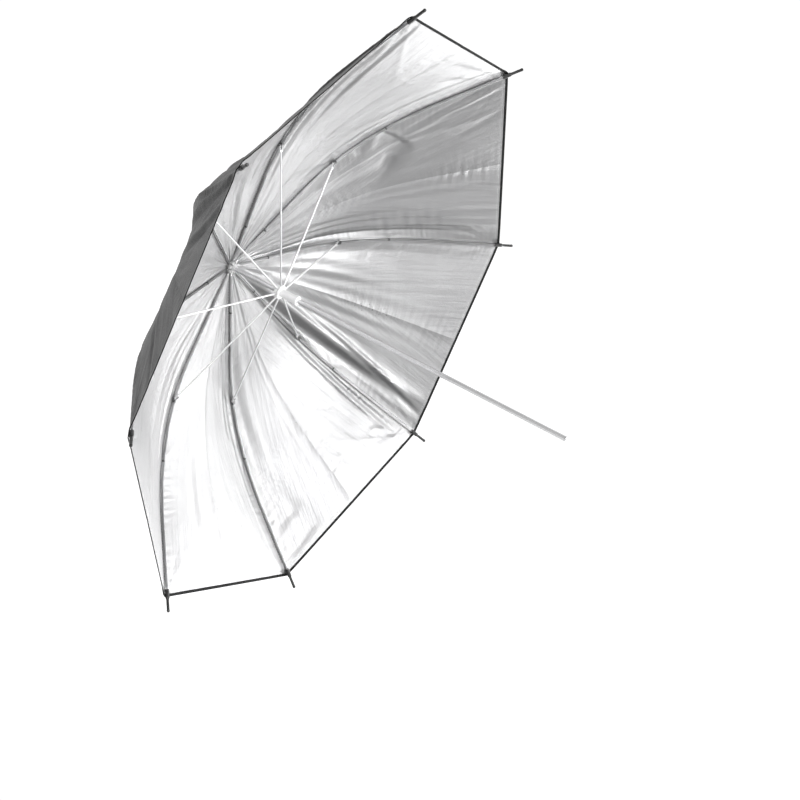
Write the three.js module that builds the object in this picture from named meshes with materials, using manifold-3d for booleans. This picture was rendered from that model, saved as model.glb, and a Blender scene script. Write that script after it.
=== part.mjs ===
// Folding umbrella reflector for studio lighting: eight ribs, 102 cm across the rib ends.
// Millimetres. The shaft lies along Y: its free end points to -Y, the crown to +Y, and +Z is up.
// The origin is on the shaft's axis, where a light stand's bracket grips the shaft.
//
// Each rib has a "spoke" frame that turns about the shaft: X is tangential, Y runs along the shaft
// towards the crown and Z is radial. Heights "below the crown" are measured towards -Y.

import * as THREE from 'three';
import { mergeVertices } from 'three/addons/utils/BufferGeometryUtils.js';
import Module from 'manifold-3d';

const wasm = await Module();
wasm.setup();

// ---- driving dimensions -------------------------------------------------------------------------

const RIB_COUNT = 8;
const GORE_ANGLE = (2 * Math.PI) / RIB_COUNT;
const HALF_GORE = GORE_ANGLE / 2;
const GAP = 0.35; // between pieces that touch

const CROWN_Y = 390; // crown hinge plane, from the clamping point
const SHAFT_RADIUS = 4;
const SHAFT_BORE = 3.3;
const SHAFT_ABOVE_CROWN = 14;
const SHAFT_END = 645; // below the crown
const SHAFT_BORE_FIT = SHAFT_RADIUS + GAP;
const END_CAP_LENGTH = 3.2;
const END_PLUG_LENGTH = 9;

// rib centre line, as [radius, depth below the crown]: straight, one long bend, straight
const HINGE_RADIUS = 9;
const RIB_BEND_START = [172, 32];
const RIB_BEND_CONTROL = [295, 56];
const RIB_BEND_END = [414, 155];
const RIB_END = [508, 233];
const RIB_WIDTH = 2.9;
const RIB_DEPTH = 2.8;
const RIB_WALL = 0.45;
const RIB_STEPS = 12;

const PIVOT_BEND_SHARE = 0.2736; // place of the stretcher's rivet, as a share of the rib's bend
const RIVET_RADIUS = 0.6;
const RIVET_HOLE = 0.95;
const SADDLE_HALF_LENGTH = 5;

const EYE_RADIUS = 1.8;
const EYE_HOLE = 0.85;
const EYE_WIDTH = 2.6;
const TONGUE_LENGTH = 7; // from the eye into the rib's channel
const WIRE_RADIUS = 0.5;

const HUB_RADIUS = 12;
const HUB_SLOT_WIDTH = 3.3;
const HUB_SLOT_FLOOR = 6.6;
const HUB_HALF_GROOVE = 0.85;
const HUB_GROOVE_FLOOR = 8.1;
const HUB_CLOSED_SIDE = 3.5; // height of the hub on the side where its slots end
const HUB_OPEN_SIDE = 5.5; // and on the side where they run out

const SLEEVE_LENGTH = 37; // from the runner's hinge plane to the end of its collar
const SLEEVE_RADIUS = 6.9;
const COLLAR_RADIUS = 8;
const COLLAR_LENGTH = 7;
const KEYWAY_WIDTH = 1.9;
const KEYWAY_RADIUS = 5.55;

const CATCH_THICKNESS = 1.2;
const CATCH_NOSE_RADIUS = 5.2;
const CATCH_NOSE_LENGTH = 8.5;
const CATCH_ANGLE = Math.PI / 2; // direction of the catch around the shaft

const ROD_RADIUS = 1.5;
const FORK_REACH = 8; // from the rivet to the fork's bridge

const TIP_SLEEVE_RADIUS = 3.5;
const TIP_BORE = 2.5;
const TIP_ROD_RADIUS = 2.4;
const TIP_REACH = 25;
const TIP_SLEEVE_LENGTH = 11;

const CANOPY_LIFT = 4.2; // from the rib's centre line to the fabric's inner face
const CANOPY_THICKNESS = 1.2;
const CANOPY_ROWS = 12;
const CANOPY_INNER_SHARE = 0.011;

// ---- places worked out from them ----------------------------------------------------------------

const ribPoint = ([radius, depth]) => new THREE.Vector3(0, -depth, radius);

function ribCurve() {
  const curve = new THREE.CurvePath();
  const hinge = ribPoint([HINGE_RADIUS, 0]);
  const start = ribPoint(RIB_BEND_START);
  const end = ribPoint(RIB_BEND_END);
  curve.add(new THREE.LineCurve3(hinge, start));
  curve.add(new THREE.QuadraticBezierCurve3(start, ribPoint(RIB_BEND_CONTROL), end));
  curve.add(new THREE.LineCurve3(end, ribPoint(RIB_END)));
  return curve;
}

const RIB_CURVE = ribCurve();
const RIB_BEND = RIB_CURVE.curves[1];
const PIVOT = RIB_BEND.getPoint(PIVOT_BEND_SHARE);
const PIVOT_SLOPE = slopeOf(RIB_BEND.getTangent(PIVOT_BEND_SHARE));
const ROOT_SLOPE = slopeOf(RIB_CURVE.curves[0].getTangent(0));
const END_SLOPE = slopeOf(RIB_CURVE.curves[2].getTangent(0));

// The stretcher is as long as the rib from hinge to rivet, so the runner's hinge plane is twice as
// far below the crown as the rivet, and the runner slides straight along the shaft.
const RUNNER_DEPTH = -2 * PIVOT.y;
const STRETCHER_LENGTH = Math.hypot(PIVOT.y, PIVOT.z - HINGE_RADIUS);
const STRETCHER_SLOPE = -Math.atan2(-PIVOT.y, PIVOT.z - HINGE_RADIUS);
const CATCH_DEPTH = RUNNER_DEPTH + SLEEVE_LENGTH + GAP;

// angle by which a direction in the spoke's YZ plane leans from Z towards -Y
function slopeOf(direction) {
  return Math.atan2(-direction.y, direction.z);
}

// ---- solids -------------------------------------------------------------------------------------

// one closed body with merged vertices and its faces pointing out
function closed(geometry) {
  let merged = geometry.clone();
  merged.deleteAttribute('normal');
  merged.deleteAttribute('uv');
  merged = mergeVertices(merged, 1e-4);
  const place = merged.attributes.position;
  const corners = merged.index.array;
  const a = new THREE.Vector3();
  const b = new THREE.Vector3();
  const c = new THREE.Vector3();
  const kept = [];
  let volume = 0;
  for (let i = 0; i < corners.length; i += 3) {
    const [p, q, r] = [corners[i], corners[i + 1], corners[i + 2]];
    if (p === q || q === r || r === p) continue;
    kept.push(p, q, r);
    a.fromBufferAttribute(place, p);
    b.fromBufferAttribute(place, q);
    c.fromBufferAttribute(place, r);
    volume += a.dot(b.cross(c));
  }
  merged.setIndex(volume < 0 ? kept.reverse() : kept);
  return merged;
}

function solid(geometry) {
  const body = closed(geometry);
  const vertProperties = new Float32Array(body.attributes.position.array);
  const triVerts = new Uint32Array(body.index.array);
  return new wasm.Manifold(new wasm.Mesh({ numProp: 3, vertProperties, triVerts }));
}

function geometryOf(manifold) {
  const { vertProperties, triVerts } = manifold.getMesh();
  const geometry = new THREE.BufferGeometry();
  geometry.setAttribute('position', new THREE.BufferAttribute(vertProperties, 3));
  geometry.setIndex(new THREE.BufferAttribute(triVerts, 1));
  return geometry;
}

function joined(...geometries) {
  return geometries.map(solid).reduce((whole, next) => whole.add(next));
}

function cut(whole, ...tools) {
  return tools.map(solid).reduce((rest, tool) => rest.subtract(tool), whole);
}

// turned about Y, from [radius, height] pairs
function turned(profile, segments = 24) {
  return new THREE.LatheGeometry(profile.map(([r, y]) => new THREE.Vector2(r, y)), segments);
}

// a ring turned about Y: its profile closes on itself
function ring(profile, segments = 24) {
  return turned([...profile, profile[0]], segments);
}

function block([x0, x1], [y0, y1], [z0, z1]) {
  const box = new THREE.BoxGeometry(x1 - x0, y1 - y0, z1 - z0);
  return box.translate((x0 + x1) / 2, (y0 + y1) / 2, (z0 + z1) / 2);
}

// a round pin along X, centred at height y and radius z of the spoke
function crossPin(radius, width, y = 0, z = 0, segments = 10) {
  const pin = new THREE.CylinderGeometry(radius, radius, width, segments);
  return pin.rotateZ(Math.PI / 2).translate(0, y, z);
}

// ---- materials ----------------------------------------------------------------------------------

const LOOKS = {
  steel: [0xd9dadb, 0.22, 1],
  whiteSteel: [0xe9eaea, 0.35, 0.2],
  ribSteel: [0x8b8c8e, 0.35, 0.9],
  whitePlastic: [0xf3f3f1, 0.42, 0],
  blackPlastic: [0x17181a, 0.4, 0],
  darkSteel: [0x4a4b4d, 0.4, 0.9],
  canopy: [0xb9babc, 0.5, 0.3],
  blackFabric: [0x202124, 0.8, 0],
};

function piece(name, geometry, look) {
  const [color, roughness, metalness] = LOOKS[look];
  const material = new THREE.MeshStandardMaterial({ color, roughness, metalness });
  const mesh = new THREE.Mesh(geometry, material);
  mesh.name = name;
  return mesh;
}

// ---- shaft and what is fixed to it --------------------------------------------------------------

function shaft() {
  const bottom = -(SHAFT_END - END_CAP_LENGTH);
  const tube = solid(ring([
    [SHAFT_BORE, bottom],
    [SHAFT_RADIUS, bottom],
    [SHAFT_RADIUS, SHAFT_ABOVE_CROWN],
    [SHAFT_BORE, SHAFT_ABOVE_CROWN],
  ]));
  const half = CATCH_THICKNESS / 2 + GAP;
  const slot = block(
    [-half, half],
    [-(CATCH_DEPTH + CATCH_NOSE_LENGTH + GAP), -(CATCH_DEPTH - GAP)],
    [0, SHAFT_RADIUS + 1],
  ).rotateY(CATCH_ANGLE);
  return geometryOf(cut(tube, slot));
}

// plug with a slightly rounded head, the same diameter as the tube
function shaftEndCap() {
  const seat = -(SHAFT_END - END_CAP_LENGTH) - GAP;
  const plug = SHAFT_BORE - GAP;
  const rounding = 0.7;
  return turned([
    [0, -SHAFT_END],
    [SHAFT_RADIUS - rounding, -SHAFT_END],
    [SHAFT_RADIUS - 0.3 * rounding, -SHAFT_END + 0.3 * rounding],
    [SHAFT_RADIUS, -SHAFT_END + rounding],
    [SHAFT_RADIUS, seat],
    [plug, seat],
    [plug, seat + END_PLUG_LENGTH],
    [0, seat + END_PLUG_LENGTH],
  ]);
}

// Slotted hub with a ring groove, hinge plane at y = 0. Its slots run out on the -Y side.
function hub(lowEnd) {
  const profile = [
    [SHAFT_BORE_FIT, HUB_CLOSED_SIDE],
    [SHAFT_BORE_FIT, lowEnd],
    [HUB_RADIUS - 1, lowEnd],
    [HUB_RADIUS, lowEnd + 1],
    [HUB_RADIUS, -HUB_HALF_GROOVE],
    [HUB_GROOVE_FLOOR, -HUB_HALF_GROOVE],
    [HUB_GROOVE_FLOOR, HUB_HALF_GROOVE],
    [HUB_RADIUS, HUB_HALF_GROOVE],
    [HUB_RADIUS, HUB_CLOSED_SIDE - 1],
    [HUB_RADIUS - 1, HUB_CLOSED_SIDE],
  ];
  const slots = [];
  for (let i = 0; i < RIB_COUNT; i += 1) {
    const slot = block(
      [-HUB_SLOT_WIDTH / 2, HUB_SLOT_WIDTH / 2],
      [lowEnd - 1, EYE_RADIUS + GAP],
      [HUB_SLOT_FLOOR, HUB_RADIUS + 2],
    );
    slots.push(slot.rotateY((i + 0.5) * GORE_ANGLE));
  }
  return cut(solid(ring(profile)), ...slots);
}

const ringWire = () => new THREE.TorusGeometry(HINGE_RADIUS, WIRE_RADIUS, 6, 24).rotateX(Math.PI / 2);

const PATCH_RADIUS = 17;
const PATCH_FLOOR = HUB_CLOSED_SIDE + 1.3; // clears the fabric, which starts below it
const WASHER_FLOOR = PATCH_FLOOR + 1.2;
const FERRULE_FLOOR = WASHER_FLOOR + 1.6;
const FERRULE_TOP = 23;

const crownPatch = () => ring([
  [SHAFT_BORE_FIT, PATCH_FLOOR],
  [PATCH_RADIUS, PATCH_FLOOR],
  [PATCH_RADIUS, WASHER_FLOOR - GAP],
  [SHAFT_BORE_FIT, WASHER_FLOOR - GAP],
]);

const crownWasher = () => ring([
  [SHAFT_BORE_FIT, WASHER_FLOOR],
  [HUB_RADIUS, WASHER_FLOOR],
  [HUB_RADIUS - 0.6, FERRULE_FLOOR - GAP],
  [SHAFT_BORE_FIT, FERRULE_FLOOR - GAP],
]);

// blind cap pressed over the shaft's crown end
const ferrule = () => turned([
  [0, SHAFT_ABOVE_CROWN + GAP],
  [SHAFT_BORE_FIT, SHAFT_ABOVE_CROWN + GAP],
  [SHAFT_BORE_FIT, FERRULE_FLOOR],
  [8, FERRULE_FLOOR],
  [8, FERRULE_FLOOR + 2],
  [6.4, FERRULE_FLOOR + 3.5],
  [5.8, FERRULE_TOP - 2],
  [4.2, FERRULE_TOP],
  [0, FERRULE_TOP],
]);

// Blade that stands out of the shaft's slot behind the runner's collar. Its steep face stops the
// runner and its long face lets the runner press it in.
function catchSpring() {
  const inner = 0.3;
  const shoulder = SHAFT_BORE - GAP;
  const bar = 5;
  const end = CATCH_NOSE_LENGTH;
  const blade = new THREE.Shape([
    [inner, bar],
    [shoulder, bar],
    [shoulder, 0],
    [CATCH_NOSE_RADIUS, 0],
    [CATCH_NOSE_RADIUS, -2],
    [SHAFT_RADIUS - 0.1, -end],
    [shoulder, -end],
    [shoulder, -end - bar],
    [inner, -end - bar],
  ].map(([r, y]) => new THREE.Vector2(r, y)));
  const body = new THREE.ExtrudeGeometry(blade, { depth: CATCH_THICKNESS, bevelEnabled: false });
  body.translate(0, -CATCH_DEPTH, -CATCH_THICKNESS / 2);
  return body.rotateY(CATCH_ANGLE - Math.PI / 2);
}

// ---- runner -------------------------------------------------------------------------------------

// Hub, sleeve and collar in one moulding, with a keyway all the way through for the catch.
// It is drawn with the slots running out on the -Y side and turned over, so they face the crown.
function runner() {
  const sleeve = solid(ring([
    [SHAFT_BORE_FIT, HUB_CLOSED_SIDE - 1],
    [SLEEVE_RADIUS, HUB_CLOSED_SIDE - 1],
    [SLEEVE_RADIUS, SLEEVE_LENGTH - COLLAR_LENGTH],
    [COLLAR_RADIUS, SLEEVE_LENGTH - COLLAR_LENGTH + 0.8],
    [COLLAR_RADIUS, SLEEVE_LENGTH - 0.6],
    [COLLAR_RADIUS - 0.6, SLEEVE_LENGTH],
    [SHAFT_BORE_FIT, SLEEVE_LENGTH],
  ]));
  const keyway = block(
    [-KEYWAY_WIDTH / 2, KEYWAY_WIDTH / 2],
    [-HUB_OPEN_SIDE - 1, SLEEVE_LENGTH + 1],
    [0, KEYWAY_RADIUS],
  ).rotateY(-CATCH_ANGLE);
  const whole = cut(hub(-HUB_OPEN_SIDE).add(sleeve), keyway);
  return geometryOf(whole).rotateZ(Math.PI);
}

// ---- ribs, stretchers and what is on them -------------------------------------------------------

// U channel whose open side faces into the canopy
function rib() {
  const w = RIB_WIDTH / 2;
  const d = RIB_DEPTH / 2;
  const section = new THREE.Shape([
    [-w, -d],
    [w, -d],
    [w, d],
    [w - RIB_WALL, d],
    [w - RIB_WALL, RIB_WALL - d],
    [RIB_WALL - w, RIB_WALL - d],
    [RIB_WALL - w, d],
    [-w, d],
  ].map(([x, y]) => new THREE.Vector2(x, y)));
  const channelStart = HINGE_RADIUS + TONGUE_LENGTH - 2;
  const path = RIB_CURVE.clone();
  path.curves[0].v1.set(0, -(channelStart - HINGE_RADIUS) * Math.tan(ROOT_SLOPE), channelStart);
  const channel = new THREE.ExtrudeGeometry(section, {
    steps: RIB_STEPS,
    bevelEnabled: false,
    extrudePath: path,
  });
  const half = EYE_WIDTH / 2;
  const tongue = block([-half, half], [-EYE_RADIUS + 0.4, EYE_RADIUS - 0.4], [0, TONGUE_LENGTH])
    .rotateX(ROOT_SLOPE)
    .translate(0, 0, HINGE_RADIUS);
  const whole = joined(channel, tongue, crossPin(EYE_RADIUS, EYE_WIDTH, 0, HINGE_RADIUS));
  const wireHole = crossPin(EYE_HOLE, EYE_WIDTH + 2, 0, HINGE_RADIUS, 8);
  const rivetHole = crossPin(RIVET_HOLE, RIB_WIDTH + 2, PIVOT.y, PIVOT.z, 8);
  return geometryOf(cut(whole, wireHole, rivetHole));
}

// The next pieces are drawn about the rivet, with Z along the rib towards its end.
const SADDLE_WALL = 0.55;
const SADDLE_SIDE = 1.2; // its cheeks stop short of the channel's lips
const FORK_INNER = RIB_WIDTH / 2 + 2 * GAP + SADDLE_WALL;
const FORK_WALL = 0.7;

function saddle() {
  const inner = RIB_WIDTH / 2 + GAP;
  const outer = inner + SADDLE_WALL;
  const floor = RIB_DEPTH / 2 + GAP;
  const section = new THREE.Shape([
    [-outer, -floor - SADDLE_WALL],
    [outer, -floor - SADDLE_WALL],
    [outer, SADDLE_SIDE],
    [inner, SADDLE_SIDE],
    [inner, -floor],
    [-inner, -floor],
    [-inner, SADDLE_SIDE],
    [-outer, SADDLE_SIDE],
  ].map(([x, y]) => new THREE.Vector2(x, y)));
  const depth = 2 * SADDLE_HALF_LENGTH;
  const body = new THREE.ExtrudeGeometry(section, { depth, bevelEnabled: false });
  body.translate(0, 0, -SADDLE_HALF_LENGTH);
  return geometryOf(cut(solid(body), crossPin(RIVET_HOLE, 8, 0, 0, 8)));
}

function rivet() {
  const seat = FORK_INNER + FORK_WALL + GAP;
  const head = 1.4;
  return turned([
    [0, -seat - 0.7],
    [head - 0.4, -seat - 0.7],
    [head, -seat],
    [RIVET_RADIUS, -seat],
    [RIVET_RADIUS, seat],
    [head, seat],
    [head - 0.4, seat + 0.7],
    [0, seat + 0.7],
  ], 8).rotateZ(Math.PI / 2);
}

// Rod with an eye for the runner's wire and a fork that straddles the rib; Z runs from eye to fork.
function stretcher() {
  const outer = FORK_INNER + FORK_WALL;
  const bridge = [-FORK_REACH - 3, -FORK_REACH];
  const half = ROD_RADIUS;
  const rodLength = STRETCHER_LENGTH - FORK_REACH - 2;
  const rod = new THREE.CylinderGeometry(ROD_RADIUS, ROD_RADIUS, rodLength - 1, 8)
    .rotateX(Math.PI / 2)
    .translate(0, 0, -STRETCHER_LENGTH + 1 + (rodLength - 1) / 2);
  const prongs = [[-outer, -FORK_INNER], [FORK_INNER, outer]]
    .map((side) => block(side, [-half, half], [-FORK_REACH - 1, 0]));
  const ends = crossPin(half, 2 * outer);
  const eye = crossPin(EYE_RADIUS, EYE_WIDTH, 0, -STRETCHER_LENGTH);
  const between = block([-FORK_INNER, FORK_INNER], [-3, 3], [-FORK_REACH, 3]);
  const fork = cut(joined(block([-outer, outer], [-half, half], bridge), ...prongs, ends), between);
  const whole = fork.add(solid(rod)).add(solid(eye));
  const wireHole = crossPin(EYE_HOLE, EYE_WIDTH + 2, 0, -STRETCHER_LENGTH, 8);
  return geometryOf(cut(whole, wireHole, crossPin(RIVET_HOLE, 2 * outer + 2, 0, 0, 8)));
}

// plastic tip over the rib's end, Z along the rib
function ribTip() {
  return turned([
    [0, 1],
    [TIP_BORE, 1],
    [TIP_BORE, -TIP_SLEEVE_LENGTH],
    [TIP_SLEEVE_RADIUS, -TIP_SLEEVE_LENGTH],
    [TIP_SLEEVE_RADIUS, 2],
    [TIP_ROD_RADIUS, 4.5],
    [TIP_ROD_RADIUS, TIP_REACH - 4],
    [TIP_ROD_RADIUS + 0.35, TIP_REACH - 2.5],
    [TIP_ROD_RADIUS, TIP_REACH - 0.8],
    [TIP_ROD_RADIUS - 0.8, TIP_REACH],
    [0, TIP_REACH],
  ], 8).rotateX(Math.PI / 2);
}

// ---- canopy -------------------------------------------------------------------------------------

// A closed sheet from rows of points on its inner face; the outer face is the same, raised along Y.
function sheet(rows, thickness) {
  const across = rows[0].length;
  const count = rows.length * across;
  const points = rows.flat();
  const raised = points.map((p) => p.clone().setY(p.y + thickness));
  const at = (row, column) => row * across + column;
  const index = [];
  const quad = (a, b, c, d) => index.push(a, b, c, a, c, d);
  for (let row = 0; row + 1 < rows.length; row += 1) {
    for (let column = 0; column + 1 < across; column += 1) {
      const [a, b] = [at(row, column), at(row, column + 1)];
      const [c, d] = [at(row + 1, column + 1), at(row + 1, column)];
      quad(a, b, c, d);
      quad(d + count, c + count, b + count, a + count);
    }
  }
  const rim = [];
  for (let column = 0; column < across; column += 1) rim.push(at(0, column));
  for (let row = 1; row < rows.length; row += 1) rim.push(at(row, across - 1));
  for (let column = across - 2; column >= 0; column -= 1) rim.push(at(rows.length - 1, column));
  for (let row = rows.length - 2; row > 0; row -= 1) rim.push(at(row, 0));
  rim.forEach((a, i) => {
    const b = rim[(i + 1) % rim.length];
    quad(b, a, a + count, b + count);
  });
  const geometry = new THREE.BufferGeometry();
  geometry.setFromPoints([...points, ...raised]);
  geometry.setIndex(index);
  return closed(geometry);
}

// The fabric between two gore creases, centred on its rib. It runs straight from the rib to the
// crease, where it meets the next panel on the plane halfway between the ribs.
function canopyPanel() {
  const rows = [];
  for (let i = 0; i <= CANOPY_ROWS; i += 1) {
    const share = CANOPY_INNER_SHARE + ((1 - CANOPY_INNER_SHARE) * i) / CANOPY_ROWS;
    const centre = RIB_CURVE.getPoint(share);
    const slope = slopeOf(RIB_CURVE.getTangent(share));
    const y = centre.y + CANOPY_LIFT * Math.cos(slope);
    const radius = centre.z + CANOPY_LIFT * Math.sin(slope);
    const creaseRadius = radius * Math.cos(HALF_GORE);
    const x = creaseRadius * Math.sin(HALF_GORE) - GAP / 2;
    const z = creaseRadius * Math.cos(HALF_GORE);
    rows.push([
      new THREE.Vector3(-x, y, z),
      new THREE.Vector3(0, y, radius),
      new THREE.Vector3(x, y, z),
    ]);
  }
  return sheet(rows, CANOPY_THICKNESS);
}

// ---- assembly -----------------------------------------------------------------------------------

const umbrella = new THREE.Group();
umbrella.position.y = CROWN_Y;

umbrella.add(
  piece('shaft', shaft(), 'steel'),
  piece('shaft_end_cap', closed(shaftEndCap()), 'steel'),
  piece('crown_notch', geometryOf(hub(-HUB_OPEN_SIDE)), 'whitePlastic'),
  piece('crown_wire', closed(ringWire()), 'darkSteel'),
  piece('crown_patch', closed(crownPatch()), 'blackFabric'),
  piece('crown_washer', closed(crownWasher()), 'blackPlastic'),
  piece('ferrule', closed(ferrule()), 'blackPlastic'),
  piece('catch_spring', closed(catchSpring()), 'darkSteel'),
);

const runnerGroup = new THREE.Group();
runnerGroup.position.y = -RUNNER_DEPTH;
runnerGroup.add(
  piece('runner', runner(), 'whitePlastic'),
  piece('runner_wire', closed(ringWire()), 'darkSteel'),
);
umbrella.add(runnerGroup);

const ribShape = rib();
const saddleShape = saddle();
const rivetShape = closed(rivet());
const tipShape = closed(ribTip());
const stretcherShape = stretcher();
const panelShape = canopyPanel();

function atRivet(lean, ...meshes) {
  const group = new THREE.Group();
  group.position.copy(PIVOT);
  group.rotation.x = lean;
  group.add(...meshes);
  return group;
}

for (let i = 0; i < RIB_COUNT; i += 1) {
  const number = i + 1;
  const spoke = new THREE.Group();
  spoke.rotation.y = (i - 0.5) * GORE_ANGLE;
  const end = new THREE.Group();
  end.position.copy(ribPoint(RIB_END));
  end.rotation.x = END_SLOPE;
  end.add(piece(`rib_tip_${number}`, tipShape, 'blackPlastic'));
  spoke.add(
    piece(`rib_${number}`, ribShape, 'ribSteel'),
    atRivet(
      PIVOT_SLOPE,
      piece(`rib_saddle_${number}`, saddleShape, 'darkSteel'),
      piece(`rivet_${number}`, rivetShape, 'darkSteel'),
    ),
    atRivet(STRETCHER_SLOPE, piece(`stretcher_${number}`, stretcherShape, 'whiteSteel')),
    end,
    piece(`canopy_panel_${number}`, panelShape, 'canopy'),
  );
  umbrella.add(spoke);
}

export default umbrella;
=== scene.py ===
"""Looks of the umbrella reflector: satin canopy, ribs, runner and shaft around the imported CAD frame.

Metres, in the row frame: the shaft lies along Y with its crown end at +Y, and +Z is up. Each rib has
a spoke frame: x is tangential, y runs along the shaft from the crown's hinge plane, z is radial.
"""
import math

import bpy
import numpy as np
from mathutils import Matrix, Vector


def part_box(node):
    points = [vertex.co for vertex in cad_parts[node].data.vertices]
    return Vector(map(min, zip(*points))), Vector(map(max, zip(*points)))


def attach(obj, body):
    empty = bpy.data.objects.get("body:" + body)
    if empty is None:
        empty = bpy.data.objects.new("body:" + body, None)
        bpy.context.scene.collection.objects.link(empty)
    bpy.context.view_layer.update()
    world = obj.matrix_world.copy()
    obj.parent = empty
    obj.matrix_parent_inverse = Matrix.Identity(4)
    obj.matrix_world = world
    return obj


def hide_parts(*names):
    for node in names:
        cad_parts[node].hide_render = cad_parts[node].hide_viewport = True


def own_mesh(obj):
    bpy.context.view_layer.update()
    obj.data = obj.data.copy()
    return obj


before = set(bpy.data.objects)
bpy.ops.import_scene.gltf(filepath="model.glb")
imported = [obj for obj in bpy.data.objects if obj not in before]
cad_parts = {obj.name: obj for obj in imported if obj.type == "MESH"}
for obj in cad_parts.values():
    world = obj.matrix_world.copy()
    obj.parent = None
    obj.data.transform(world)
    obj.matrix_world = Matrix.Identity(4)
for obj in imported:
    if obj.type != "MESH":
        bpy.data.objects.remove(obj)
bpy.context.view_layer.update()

# ---- driving dimensions ---------------------------------------------------------------------------

RIBS = 8
GORE = 2 * math.pi / RIBS
MM = 0.001

CROWN_Y = 0.390
HINGE_RADIUS = 0.009
RIB_BEND_START = (0.172, 0.032)  # radius, depth below the crown
RIB_BEND_CONTROL = (0.295, 0.056)
RIB_BEND_END = (0.414, 0.155)
RIB_END = (0.508, 0.233)

FABRIC_LIFT = 2.5 * MM  # from a rib's centre line to the fabric's inner face
TIP_EXTRA_LIFT = 1.4 * MM  # where the fabric passes over a tip's sleeve
TIP_SLEEVE = 11.0 * MM
TIP_WIDTH = 16.0 * MM  # of the fabric that a tip lifts, to each side
RIDGE_ROUNDING = 1.6 * MM  # how far the cloth's round ridge over a rib lies inside the flat gores' corner
RIDGE_START = 0.1  # share of the rib from which its ridge is fully rounded
FABRIC_THICKNESS = 0.5 * MM
FABRIC_START = 0.008  # first row, as a share of the rib's length
GORE_SAG = 5.0 * MM  # of a gore's middle inside the flat chord between its ribs
SEAM_HALF_WIDTH = 4.5 * MM
SEAM_STEP = 0.5 * MM  # of the doubled cloth along a rib, to the inside
HEM_FOLD = 10.0 * MM  # the hem's turned-in cloth
HEM_STEP = 0.4 * MM  # of that cloth, to the outside
STEP_SOFTNESS = 0.3 * MM
BINDING_WIDTH = 5.0 * MM
BINDING_HALF_THICKNESS = 0.75 * MM
BINDING_REACH = 0.42  # share of its width that its middle lies inside the cloth's edge
WEAVE_PITCH = 1.2 * MM
CROWN_COVER_THICKNESS = 0.7 * MM
TIES = (0.13, 0.605)  # shares of the rib where the cloth is tied to it

CAMERA_PLACE = (-2.2233, -0.9140, 0.3386)
CAMERA_FORWARD = (0.90958, 0.38126, -0.16524)
CAMERA_UP = (-0.01742, 0.43230, 0.90156)
CAMERA_LENS = 70.2  # mm, on a 36 mm sensor
WHITE_SIDE = (0.91, 0.38, 0.10)  # direction of the studio's white wall
NEAR_SIDE = (-0.95, -0.20, 0.20)  # and of the pale wall across from it
FLOOR_HEIGHT = -1.3
FLOOR_REACH = 30.0  # from its middle to each side
LIGHT_AIM = (0, 0.2, 0)
LIGHTS = {  # place, diameter, watts
    "front": ((1.2, -2.4, 1.2), 1.2, 52),
    "ahead": ((-0.3, -3.0, 0.1), 1.4, 22),
    "upper_right": ((2.4, -0.8, 0.8), 1.4, 14),
    "right": ((2.4, -0.9, -0.1), 1.6, 24),
    "lower_right": ((2.2, -0.5, -0.7), 1.2, 12),
    "near": ((-2.3, -1.6, 1.1), 1.4, 60),
}


# ---- curves and places ------------------------------------------------------------------------------

def rib_line(count):
    """Evenly spaced points of a rib's centre line as (radius, depth) rows, and their shares of its length."""
    a, c, b = (np.array(p) for p in (RIB_BEND_START, RIB_BEND_CONTROL, RIB_BEND_END))
    t = np.linspace(0, 1, 200)[:, None]
    bend = a * (1 - t) ** 2 + 2 * c * t * (1 - t) + b * t ** 2
    fine = np.vstack([[HINGE_RADIUS, 0.0], bend, RIB_END])
    steps = np.linalg.norm(np.diff(fine, axis=0), axis=1)
    along = np.concatenate([[0], np.cumsum(steps)])
    shares = np.linspace(0, 1, count)
    points = np.stack([np.interp(shares * along[-1], along, fine[:, i]) for i in (0, 1)], 1)
    return points, shares, along[-1]


RIB_FINE, RIB_SHARES, RIB_LENGTH = rib_line(801)
RIB_SLOPE = np.arctan2(*np.gradient(RIB_FINE, axis=0).T[::-1])


def rib_at(share):
    """Radius, depth and slope of a rib's centre line at shares of its length."""
    return tuple(np.interp(share, RIB_SHARES, v) for v in (RIB_FINE[:, 0], RIB_FINE[:, 1], RIB_SLOPE))


def spoke(angle):
    """Spoke frame at an angle from +Z towards +X: its columns are the x, y and z directions."""
    c, s = math.cos(angle), math.sin(angle)
    return np.array([[c, 0, s], [0, 1, 0], [-s, 0, c]])


def rib_angle(k):
    """Direction of rib k, counted from 1."""
    return (k - 1.5) * GORE


def to_row(points, angle):
    """Points of a spoke frame in the row frame."""
    return points @ spoke(angle).T + np.array([0, CROWN_Y, 0])


def frame_at(angle, depth, radius, slope):
    """4x4 placing a piece drawn about z at a point of a spoke, with z leaning from radial to -Y by slope."""
    c, s = math.cos(slope), math.sin(slope)
    lean = np.array([[1, 0, 0], [0, c, -s], [0, s, c]])
    m = np.eye(4)
    m[:3, :3] = spoke(angle) @ lean
    m[:3, 3] = to_row(np.array([[0, -depth, radius]]), angle)[0]
    return m


# ---- meshes -----------------------------------------------------------------------------------------

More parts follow.
